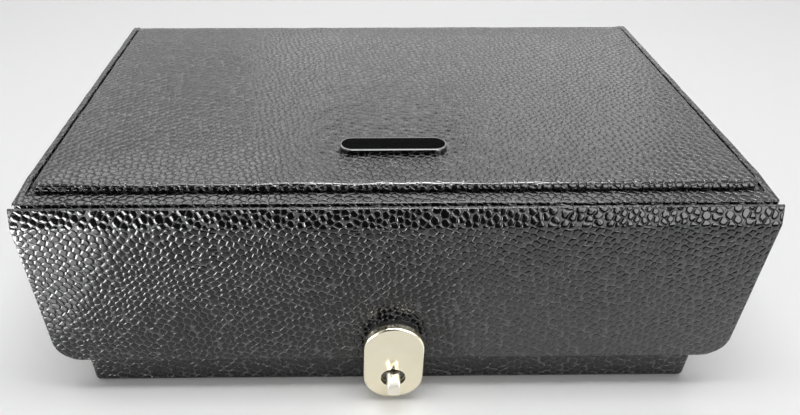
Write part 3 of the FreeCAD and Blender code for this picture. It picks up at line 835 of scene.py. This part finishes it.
@dataclass
class Lid:
    """The lid: leatherette over board with a padded panel outside, velour and a mirror inside.

    The groove's rows give, in millimetres, how far each lies under the border, out from the pad and, at the
    pad's sides, above that again. The border's rows give the share of the way to the lid's edge and the rise.
    """

    finishes: Finishes
    corner: float = 1.2 * MM
    edge: float = 0.6 * MM
    groove_mm: tuple[Triple, ...] = (
        (0.85, -2.0, 0.0), (0.85, 0.1, 0.0), (0.7, 0.4, -0.1), (0.2, 0.6, -0.6), (0.0, 0.9, -0.8)
    )
    border_mm: tuple[Pair, ...] = ((0.2, -0.7), (0.26, 0.9), (0.34, 1.15), (0.7, 1.15), (1.0, 1.15))
    front_fade: Pair = (6.5 * MM, 15 * MM)
    back_fade: Pair = (7 * MM, 1.5 * MM)
    side_fade: Pair = (0.2 * MM, 0.3 * MM)
    mitre: float = 0.6
    upper: Waver = Waver(0.16 * MM, 11 * MM, 1.0)
    lower: Waver = Waver(0.08 * MM, 11 * MM, 1.0)
    liner_gap: float = 0.4 * MM
    liner_lap: float = 0.2 * MM
    panel_corner: float = 2.0 * MM
    panel_spread: float = 0.7 * MM
    panel_edge: float = 2.7 * MM
    panel_round: float = 1.5 * MM
    panel_roll: float = 3.0 * MM
    panel_rise: float = 2.2 * MM
    panel_draw: float = 0.45 * MM
    panel_foot: Pair = (-0.8 * MM, 0.2 * MM)
    panel_step: float = 2.4 * MM
    panel_reach: float = 69 * MM
    panel_spans: tuple[int, int] = (120, 76)
    crown_reach: float = 24 * MM
    roll_rows: int = 9
    roll: Waver = Waver(0.22 * MM, 9 * MM, 2.0)
    crown: Waver = Waver(0.1 * MM, 20 * MM, 2.0)
    badge_dent: float = 0.35 * MM
    badge_reach: float = 4 * MM
    badge_round: float = 0.8 * MM
    badge_height: float = 0.7
    badge_gap: float = 0.02 * MM
    badge_hold: float = 0.05 * MM
    badge_flat: float = 2.2
    badge_spans: tuple[int, int, int] = (40, 2, 16)
    frame_corner: float = 3.0 * MM
    frame_lap: float = 0.3 * MM
    frame_fullness: float = 0.7
    frame_spans: tuple[int, int] = (60, 40)
    frame_roll: Waver = Waver(0.2 * MM, 14 * MM, 7.0)

    def pad_outline(self) -> Outline:
        """Outline of the pad, which is pressed out a little at both sides."""
        box = boxed("lid_panel", self.panel_corner)
        return Outline(box.x + self.panel_spread, box.y0, box.y1, box.corner)

    def lift(self, point: Vector, pad: Outline, rise: float) -> None:
        """Raise or lower a point of the cover where it lies at a side of the pad.

        Args:
            point: the point, which is moved.
            pad: the pad's outline.
            rise: how far it is raised at the middle of a side.
        """
        front = (point.y - pad.y0 + self.front_fade[0]) / self.front_fade[1]
        back = (pad.y1 + self.back_fade[0] - point.y) / self.back_fade[1]
        ahead = max(pad.y0 - point.y, 0)
        beside = (abs(point.x) - pad.x + self.side_fade[0]) / (self.side_fade[1] + ahead * self.mitre)
        point.z += rise * held(min(front, back)) * held(beside)

    def build_cover(self) -> None:
        """Leatherette over the lid's border and edges, turned in underneath.

        At both sides the border stands up as a narrow rim, with a deep open groove between it and the pad.
        """
        low, high = box_of("lid_wrap")
        pad = self.pad_outline()
        rim = boxed("lid_wrap", self.corner)
        liner = boxed("lid_liner", self.corner)
        top, edge = high.z, self.edge
        rows = [(pad.loop(top - under * MM, -out * MM), rise) for under, out, rise in self.groove_mm]
        ends = list(zip(rows[-1][0], rim.loop(top, edge)))
        rows += [([a.lerp(b, share) for a, b in ends], rise) for share, rise in self.border_mm]
        rise = self.border_mm[-1][1]
        rows += [(rim.loop(z, edge - y), rise) for y, z in arc((0, top - edge), edge, 90, 0, 6)[1:]]
        above = [loop for loop, _ in rows]
        for loop, rise in rows:
            for point in loop:
                self.lift(point, pad, rise * MM)
        below = [rim.loop(z, edge - y) for y, z in arc((0, low.z + edge), edge, 0, -90, 6)]
        below += [liner.loop(low.z, -self.liner_gap), liner.loop(low.z + self.liner_gap, self.liner_lap)]
        self.upper.shake(above)
        self.lower.shake(below)
        place(loft("lid_cover", above + below), self.finishes.leatherette, Body.LID, ["lid_wrap"])

    def build_panel(self) -> None:
        """Foam pad under leatherette: drawn in at its foot, rolled over its edge and slightly crowned."""
        low, high = box_of("lid_panel")
        pad = self.pad_outline()
        edge_top = low.z + self.panel_edge
        draw, bend = self.panel_draw, self.panel_round
        profile = [(draw * share, draw * share, low.z + z) for share, z in zip((1, 0.5), self.panel_foot)]
        # The pad's front is a wide roll, and its sides turn down more tightly.
        for across, up in arc((0, 0), 1, 0, 90, 10):
            z = edge_top - self.panel_rise * (1 - up)
            over = max(z - edge_top + bend, 0)
            side = bend - math.sqrt(max(bend**2 - over**2, 0))
            profile.append((self.panel_roll * (1 - across), side, z))
        inset = 0.0
        while inset < self.panel_reach:
            inset += self.panel_step
            rise = 1 - (1 - held(inset / self.crown_reach)) ** 2
            profile.append((self.panel_roll + inset, bend + inset, edge_top + (high.z - edge_top) * rise))
        loops = [
            Outline(pad.x + front - side, pad.y0, pad.y1, pad.corner).loop(z, front, *self.panel_spans)
            for front, side, z in profile
        ]
        self.roll.shake(loops[: self.roll_rows])
        badge_low, badge_high = box_of("badge")
        for loop in loops[self.roll_rows :]:
            for point in loop:
                point.z += self.crown.at(point).z
                off_x = max(badge_low.x - point.x, point.x - badge_high.x, 0)
                off_y = max(badge_low.y - point.y, point.y - badge_high.y, 0)
                near = held(math.hypot(off_x, off_y) / self.badge_reach)
                point.z -= self.badge_dent * (1 - near) ** 2
        mesh = loft("lid_pad", loops, last=True)
        panel = place(mesh, self.finishes.leatherette, Body.LID, ["lid_panel"])

    def build_badge(self) -> None:
        """Bare enamelled plate with a rounded edge."""
        low, high = box_of("badge")
        outline = Outline(high.x, low.y, high.y, (high.y - low.y) / 2 - self.badge_gap)
        bend = self.badge_round
        drop = bend * self.badge_height
        profile = [(0.0, low.z)]
        profile += [(bend * (1 - x), high.z - drop * (1 - up)) for x, up in arc((0, 0), 1, 0, 90, 10)]
        # A narrow flat row holds the top level beside the round edge.
        profile += [(bend + self.badge_hold, high.z), (bend * self.badge_flat, high.z)]
        loops = [outline.loop(z, inset, *self.badge_spans) for inset, z in profile]
        place(loft("badge_plate", loops, last=True), self.finishes.enamel, Body.LID, ["badge"])

    def build_frame(self) -> None:
        """Velour rolled over a cord round the mirror."""
        low, high = box_of("mirror_frame")
        _, glass = box_of("mirror")
        outline = boxed("mirror_frame", self.frame_corner)
        width = outline.x - glass.x + self.frame_lap
        loops = []
        for across, up in arc((0, 0), 1, 0, 180, 12):
            z = high.z - (high.z - low.z) * max(up, 0) ** self.frame_fullness
            loops.append(outline.loop(z, width / 2 * (1 - across), *self.frame_spans))
        self.frame_roll.shake(loops[1:-1])
        for loop in loops[1:-1]:
            for point in loop:
                point.z = max(point.z, low.z)
        roll = place(loft("mirror_roll", loops), self.finishes.velour, Body.LID, ["mirror_frame"])

    def build(self) -> None:
        """Build and dress the lid."""
        self.build_cover()
        self.build_panel()
        self.build_badge()
        self.build_frame()
        coat(self.finishes.board, "lid_board")
        coat(self.finishes.velour, "lid_liner")
        coat(self.finishes.glass, "mirror")
        coat(self.finishes.nickel, "left_lid_leaf", "right_lid_leaf", "lid_hinge_screws")


@dataclass
class Flap:
    """The front flap that hangs from the lid's front edge on a crease in the leatherette."""

    finishes: Finishes
    corner: float = 9.5 * MM
    edge: float = 0.8 * MM
    knee_drop: float = 6.2 * MM
    knee_soft: float = 0.5 * MM
    top_width: float = 1.1 * MM
    top_round: float = 0.4 * MM
    turn_in: float = 2.3 * MM
    back_gap: float = 0.12 * MM
    ridges_mm: tuple[float, ...] = (0.0, 0.05, 0.14, 0.27, 0.45, 0.8)
    crest_mm: tuple[Pair, ...] = ((0.12, 0.25), (0.4, 0.4), (0.7, 0.4))
    back_mm: Triple = (0.1, 0.5, 3.0)
    spans: tuple[int, int] = (120, 34)
    face_waver: Waver = Waver(0.1 * MM, 18 * MM, 4.0)
    crest_waver: Waver = Waver(0.12 * MM, 8 * MM, 6.0)
    crease_depth: float = 2.4 * MM
    crease_rise: float = 0.35 * MM
    crease_lap: float = 1.25
    crease_spans: tuple[int, int] = (130, 12)
    crease_waver: Waver = Waver(0.12 * MM, 7 * MM, 8.0)

    def half_width(self, z: float) -> float:
        """Measure half of the flap's width, which is less between its round lower corners.

        Args:
            z: the height.

        Returns:
            The half width there.
        """
        low, high = box_of("flap_wrap")
        up = min(z - low.z, self.corner)
        return high.x - self.corner + math.sqrt(max(self.corner**2 - (self.corner - up) ** 2, 0))

    def beyond(self, x: float, z: float) -> Pair:
        """How far a point lies out past the nearer lower corner's centre along X and Z, or 0."""
        low, high = box_of("flap_wrap")
        return max(abs(x) - (high.x - self.corner), 0), max(low.z + self.corner - z, 0)

    def depth_in(self, x: float, z: float) -> float:
        """Distance of a point on the front from the flap's sides and foot, up to the corners' radius."""
        return self.corner - math.hypot(*self.beyond(x, z))

    def face(self, z: float) -> float:
        """Where the front face lies at a height, with a softened knee.

        Args:
            z: the height.

        Returns:
            The place along Y.
        """
        low, high = box_of("flap_wrap")
        slope = (high.y - self.top_width - low.y) / self.knee_drop
        over = z - (high.z - self.knee_drop)
        soft = self.knee_soft
        if over <= -soft:
            return low.y
        if over >= soft:
            return low.y + slope * over
        return low.y + slope * (over + soft) ** 2 / (4 * soft)

    def stations(self) -> tuple[list[float], list[float]]:
        """Divide the front more finely towards its edges and its knee.

        Returns:
            The heights of its rows, and the shares of its half width where each has a point.
        """
        low, high = box_of("flap_wrap")
        across, along = self.spans
        knee, soft = high.z - self.knee_drop, self.knee_soft
        ridges = [r * MM for r in self.ridges_mm]
        rises = [low.z + r for r in ridges]
        rises += [low.z + self.edge + (knee - 2 * self.edge - low.z) * i / along for i in range(1, along + 1)]
        rises += [knee - soft, knee - 0.4 * soft, knee, knee + 0.4 * soft, knee + soft]
        bevel = self.knee_drop - soft - self.top_round
        rises += [knee + soft + bevel * i / 6 for i in range(1, 7)]
        shares = [-1 + r / high.x for r in ridges]
        inner = -shares[-1]
        shares += [-inner + 2 * inner * k / across for k in range(1, across)]
        shares += [-s for s in reversed(shares[: len(ridges)])]
        return rises, shares

    def build_cover(self) -> None:
        """Leatherette over the front, the bevel and the edges, turned in on the back."""
        _, high = box_of("flap_wrap")
        rises, shares = self.stations()
        rows = []
        for z in rises:
            row = []
            for share in shares:
                x = share * self.half_width(z)
                deep = max(self.depth_in(x, z), 0)
                rolled = self.edge - math.sqrt(self.edge**2 - max(self.edge - deep, 0) ** 2)
                point = Vector((x, self.face(z) + rolled, z))
                point.y += self.face_waver.at(point).y
                row.append(point)
            rows.append(row)
        last = rows[-1]
        rim = [row[0] for row in reversed(rows)] + rows[0][1:-1] + [row[-1] for row in rows]
        crest = high.z - self.top_round
        move = self.crest_waver.at
        for back, up in self.crest_mm:
            rows.append([Vector((p.x, p.y + back * MM, crest + up * MM)) + move(p) for p in last])
        behind = high.y + self.back_gap
        for down in (*(d * MM for d in self.back_mm), self.knee_drop + self.top_round):
            rows.append([Vector((p.x, behind, high.z - down)) for p in last])
        strips = [rim]
        for step in (0.5, 1.0):
            strips.append([Vector((p.x, p.y + (behind - p.y) * step, p.z)) for p in rim])
        strips.append([self.inward(p, self.turn_in, behind) for p in rim])
        front, sides = loft("flap_front", rows, closed=False), loft("flap_sides", strips, closed=False)
        place(joined("flap_cover", [front, sides]), self.finishes.leatherette, Body.FLAP, ["flap_wrap"])

    def inward(self, point: Vector, reach: float, y: float) -> Vector:
        """Move a point on the outline in from the flap's edge.

        Args:
            point: a point on the outline.
            reach: how far in.
            y: where the new point lies along Y.

        Returns:
            The new point.
        """
        over_x, over_z = self.beyond(point.x, point.z)
        away = Vector((math.copysign(over_x, point.x), 0, -over_z)).normalized() * reach
        return Vector((point.x - away.x, y, point.z - away.z))

    def build_crease(self) -> None:
        """The strip of leatherette between the lid and the flap, drawn in its fold."""
        low, high = box_of("crease_strip")
        middle, half = (low.y + high.y) / 2, (high.y - low.y) / 2
        across, along = self.crease_spans
        rows = []
        for i in range(along + 1):
            t = self.crease_lap * (2 * i / along - 1)
            z = high.z + self.crease_rise - self.crease_depth * math.cos(min(abs(t), 1) * math.pi / 2)
            xs = [low.x + (high.x - low.x) * k / across for k in range(across + 1)]
            rows.append([Vector((x, middle - half * t, z)) for x in xs])
        self.crease_waver.shake(rows)
        mesh = loft("crease_fold", rows, closed=False)
        strip = place(mesh, self.finishes.leatherette, None, ["crease_strip"])
        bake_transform(strip)

    def build(self) -> None:
        """Build and dress the flap."""
        self.build_cover()
        self.build_crease()
        coat(self.finishes.board, "flap_board")
        coat(self.finishes.velour, "flap_lining")


@dataclass
class TurnLock:
    """The turn lock: a thick plate with a recess, a knob with a fin, and the works behind.

    The lacquer's rows give a share of the recess's radius and, in millimetres, how deep each lies.
    """

    finishes: Finishes
    recess: float = 4.7 * MM
    recess_depth: float = 1.9 * MM
    lacquer_mm: tuple[Pair, ...] = ((1.0, 0.02), (0.97, -0.05), (0.8, -0.02), (0.3, 0.0), (0.0, 0.0))
    spans: int = 48

    def build_recess(self) -> None:
        """Black lacquer on the knob's sunk disc, round the foot of its fin."""
        low, high = box_of("lock_plate")
        y, z = low.y + self.recess_depth, low.z + high.x
        loops = []
        for share, deep in self.lacquer_mm:
            ring = arc((0, z), self.recess * share, 360, 0, self.spans)[:-1]
            loops.append([Vector((px, y + deep * MM, pz)) for px, pz in ring])
        place(loft("recess_lacquer", loops), self.finishes.lacquer, Body.KNOB)

    def build(self) -> None:
        """Build and dress the lock."""
        self.build_recess()
        coat(self.finishes.gold, "lock_plate")
        # The lock body takes the dark brown-black too, painted shade of the gap behind the plate where it
        # lies.
        coat(self.finishes.lacquer, "lock_body")
        coat(self.finishes.satin, "turn_knob")
        coat(self.finishes.nickel, "lock_backing", "lock_rivets", "knob_spindle", "cam_lug", "retaining_ring")


@dataclass
class Tray:
    """The sliding tray with its ring rolls."""

    finishes: Finishes
    roll_count: int = 6
    roll_end: float = 2.2 * MM
    roll_slack: float = 0.2 * MM
    roll_spans: tuple[int, int] = (40, 28)
    roll_reach: float = 0.3 * MM
    roll_wave: float = 9 * MM
    first_seed: float = 9.0
    bed_round: float = 1.5 * MM
    bed_foot: Pair = (0.2 * MM, 1.0 * MM)
    bed_sink: float = 0.1 * MM
    bed_spans: tuple[int, int] = (40, 24)
    bed_waver: Waver = Waver(0.12 * MM, 10 * MM, 17.0)

    def roll(self, y: float, seed: float) -> bpy.types.Mesh:
        """One roll, with rounded ends.

        Args:
            y: where its middle lies along Y.
            seed: which pattern of unevenness it has.

        Returns:
            Its mesh.
        """
        low, high = box_of("ring_rolls")
        length = high.x - low.x
        spans, round_spans = self.roll_spans
        uneven = Waver(self.roll_reach, self.roll_wave, seed)
        ends = [(t * self.roll_end, 0.5 + 0.5 * math.sqrt(1 - (1 - t) ** 2)) for t in (0, 0.1, 0.3, 0.6, 1)]
        inner = length - 2 * self.roll_end
        stations = ends + [(self.roll_end + inner * k / spans, 1.0) for k in range(1, spans)]
        stations += [(length - along, share) for along, share in reversed(ends)]
        centre = Vector((low.x, y, (low.z + high.z) / 2))
        loops = []
        for along, share in stations:
            loop = []
            for across, up in arc((0, 0), 1, 0, 360, round_spans)[:-1]:
                away = Vector((0, across, up))
                point = centre + Vector((along, 0, 0)) + away * share * (high.z - low.z) / 2
                loop.append(point + away * (uneven.at(point).x - self.roll_slack))
            loops.append(loop)
        return loft("roll", loops, first=True, last=True)

    def build_rolls(self) -> None:
        """Foam rolls under velour that hold rings between them."""
        low, high = box_of("ring_rolls")
        thick = high.z - low.z
        pitch = (high.y - low.y - thick) / (self.roll_count - 1)
        first = low.y + thick / 2
        rolls = [self.roll(first + i * pitch, self.first_seed + i) for i in range(self.roll_count)]
        piece = place(joined("ring_roll_set", rolls), self.finishes.velour, Body.TRAY, ["ring_rolls"])

    def build_bed(self) -> None:
        """Foam bed under the rolls."""
        low, high = box_of("ring_bed")
        bend = self.bed_round
        shift = Vector(((low.x + high.x) / 2, 0, 0))
        centred = Outline((high.x - low.x) / 2, low.y, high.y, bend)
        profile = [(self.bed_foot[0], low.z), (0.0, low.z + self.bed_foot[1])]
        profile += [(bend - y, z) for y, z in arc((0, high.z - bend), bend, 0, 90, 5)]
        loops = [[p + shift for p in centred.loop(z, inset, *self.bed_spans)] for inset, z in profile]
        for loop in loops[1:]:
            for point in loop:
                point += self.bed_waver.at(point) - Vector((0, 0, self.bed_sink))
        bed = place(loft("ring_cushion", loops, last=True), self.finishes.velour, Body.TRAY, ["ring_bed"])

    def build(self) -> None:
        """Build and dress the tray."""
        self.build_rolls()
        self.build_bed()
        walls = ["tray_front_wall", "tray_back_wall", "tray_left_wall", "tray_right_wall"]
        coat(self.finishes.velour, *walls, "tray_floor", "tray_long_divider", "tray_cross_divider")


@dataclass(frozen=True)
class Card:
    """Flat sheet: its name, its lower or nearer left corner, and the opposite one."""

    name: str
    low: Triple
    high: Triple


@dataclass(frozen=True)
class Lamp:
    """Soft lamp with a flat front: where it hangs, what it points at and how large it is.

    A level of 1 is as bright as white.
    """

    name: str
    at: Triple
    to: Triple
    size: Pair
    level: float
    rays: Rays = Rays.GLOSSY


@dataclass
class Studio:
    """Pale table top in a light tent that is open towards the front."""

    eye_mm: Triple = (-15.484, -265.332, 216.044)
    pitch: float = 36.226
    yaw: float = 0.75
    roll: float = 0.089
    focal_px: float = 677.368
    centre_px: Pair = (359.191, 223.69)
    image_px: tuple[int, int] = (800, 415)
    sensor_mm: float = 36.0
    floor_colour: str = "#f4f4f4"
    floor_reach: float = 4.0
    tent_light: float = 0.35
    card_colour: str = "#000000"
    card_light: float = 0.03
    # The room in front is dark, and so is the patch behind that the badge mirrors.
    cards: tuple[Card, ...] = (
        Card("front_card", (-0.95, -1.06, 0.0), (0.33, -1.06, 1.4)),
        Card("top_card", (-0.95, -1.06, 1.4), (0.33, -0.32, 1.4)),
        Card("side_card", (0.33, -1.06, 0.0), (1.2, -1.06, 0.13)),
        Card("floor_card", (-0.95, -1.06, 0.001), (1.2, -0.21, 0.001)),
        Card("badge_card", (-0.08, 1.0, 0.62), (0.24, 1.0, 0.75)),
    )
    # Windows, the pale table and the ceiling show in the gloss; the last three lamps light the box.
    lamps: tuple[Lamp, ...] = (
        Lamp("left_lamp", (-0.42, -0.43, 0.03), (-0.05, -0.08, 0.03), (0.36, 0.08), 30.0),
        Lamp("left_sheet", (-0.25, -0.28, 0.004), (-0.25, -0.28, 1.0), (0.22, 0.33), 3.4),
        Lamp("left_glint", (-0.34, -0.2, 0.005), (-0.34, -0.2, 1.0), (0.28, 0.2), 20.0),
        Lamp("right_sheet", (0.27, -0.15, 0.004), (0.27, -0.15, 1.0), (0.48, 0.12), 0.55),
        Lamp("back_left", (-0.6, 1.34, 1.18), MIDDLE, (0.7, 0.34), 3.0),
        Lamp("right_lamp", (0.8, -1.04, 0.72), MIDDLE, (0.95, 1.25), 6.0),
        Lamp("edge_lamp", (0.1, -0.08, 1.0), (0.1, -0.08, 0.0), (0.44, 0.12), 30.0),
        Lamp("ceiling", (0.0, 0.53, 1.0), (0.0, 0.53, 0.0), (1.6, 0.58), 4.0),
        Lamp("back_lamp", (0.25, 1.35, 0.95), MIDDLE, (1.1, 0.9), 1.5, Rays.ALL),
        Lamp("top_lamp", (0.0, -0.1, 1.05), MIDDLE, (0.9, 0.28), 8.6, Rays.ALL),
        Lamp("front_fill", (0.0, -0.9, 0.9), MIDDLE, (0.6, 0.6), 0.9, Rays.DIFFUSE),
    )

    def camera(self) -> None:
        """The photograph's viewpoint."""
        data = bpy.data.cameras.new("camera")
        data.sensor_fit = "HORIZONTAL"
        data.sensor_width = self.sensor_mm
        width, height = self.image_px
        data.lens = self.focal_px / width * data.sensor_width
        data.shift_x = (width / 2 - self.centre_px[0]) / width
        data.shift_y = (self.centre_px[1] - height / 2) / width
        data.clip_start = 0.01
        camera = shown("camera", data)
        pose = Matrix.Translation(Vector(self.eye_mm) * MM)
        for angle, axis in ((-self.yaw, "Z"), (90 - self.pitch, "X"), (self.roll, "Z")):
            pose = pose @ Matrix.Rotation(math.radians(angle), 4, axis)
        camera.matrix_world = pose
        bpy.context.scene.camera = camera

    def sheet(self, card: Card, stuff: str, surface: Inputs) -> bpy.types.Object:
        """Put a flat sheet on the stage.

        Args:
            card: its name and corners.
            stuff: what it is made of.
            surface: what its surface shader's sockets take.

        Returns:
            The sheet.
        """
        rows = [[Vector((x, y, z)) for x in (card.low[0], card.high[0])] for _, y, z in (card.low, card.high)]
        mesh = loft(card.name, rows, closed=False)
        material = bpy.data.materials.new(stuff)
        material.use_nodes = True
        shader = material.node_tree.nodes["Principled BSDF"]
        for key, value in surface.items():
            shader.inputs[key].default_value = value
        mesh.materials.append(material)
        item = shown(card.name, mesh)
        return item

    def floor(self) -> None:
        """Wide table top of matt white card."""
        far = self.floor_reach
        matt = {"Base Color": linear(self.floor_colour), "Roughness": 1.0, "Specular IOR Level": 0.0}
        self.sheet(Card("table_top", (-far, -far, 0.0), (far, far, 0.0)), "matt_white_card", matt)

    def world(self) -> None:
        """White tent all round: dimmer as a light than it shows in the glossy surfaces."""
        world = bpy.data.worlds.new("light_tent")
        bpy.context.scene.world = world
        world.use_nodes = True
        tree = world.node_tree
        rays = add_node(tree, "LightPath")
        seen = rays["Is Camera Ray"]
        for kind in ("Is Glossy Ray", "Is Transmission Ray"):
            seen = add_node(tree, "Math", (seen, rays[kind]), operation="MAXIMUM")[0]
        level = add_node(tree, "MapRange", {"Value": seen, 3: self.tent_light, 4: 1.0})[0]
        tent = tree.nodes["Background"]
        tent.inputs["Color"].default_value = (1, 1, 1, 1)
        tree.links.new(level, tent.inputs["Strength"])

    def raise_card(self, card: Card) -> None:
        """Put up a card of felt that only glossy pieces mirror, glowing a little as a dark room does.

        Args:
            card: the card.
        """
        felt = {
            "Base Color": linear(self.card_colour),
            "Specular IOR Level": 0.0,
            "Emission Color": (1, 1, 1, 1),
            "Emission Strength": self.card_light,
        }
        item = self.sheet(card, card.name + "_felt", felt)
        for kind in ("camera", "diffuse", "transmission", "shadow", "volume_scatter"):
            setattr(item, "visible_" + kind, False)

    def hang(self, lamp: Lamp) -> None:
        """Hang up a lamp.

        Args:
            lamp: the lamp.
        """
        data = bpy.data.lights.new(lamp.name, "AREA")
        data.shape = "RECTANGLE"
        data.size, data.size_y = lamp.size
        data.energy = lamp.level * math.pi * lamp.size[0] * lamp.size[1]
        item = shown(lamp.name, data)
        at, to = Vector(lamp.at), Vector(lamp.to)
        item.matrix_world = Matrix.Translation(at) @ (to - at).to_track_quat("-Z", "Y").to_matrix().to_4x4()
        item.visible_camera = False
        if lamp.rays.value:
            setattr(item, lamp.rays.value, False)

    def build(self) -> None:
        """Build the table, the tent, the cards, the lamps and the camera."""
        bpy.context.scene.view_settings.view_transform = "Standard"
        self.floor()
        self.world()
        for card in self.cards:
            self.raise_card(card)
        for lamp in self.lamps:
            self.hang(lamp)
        self.camera()


def main() -> None:
    """Build every sub-assembly and the studio."""
    logging.basicConfig(level=logging.INFO, format="%(name)s: %(message)s")
    # The noise starts from the clock unless its seed is set, and the box is the same each run.
    noise.seed_set(NOISE_SEED)
    finishes = Finishes()
    for part in (Carcass(finishes), Lid(finishes), Flap(finishes), TurnLock(finishes), Tray(finishes)):
        part.build()
    Studio().build()


if __name__ == "__main__":
    main()
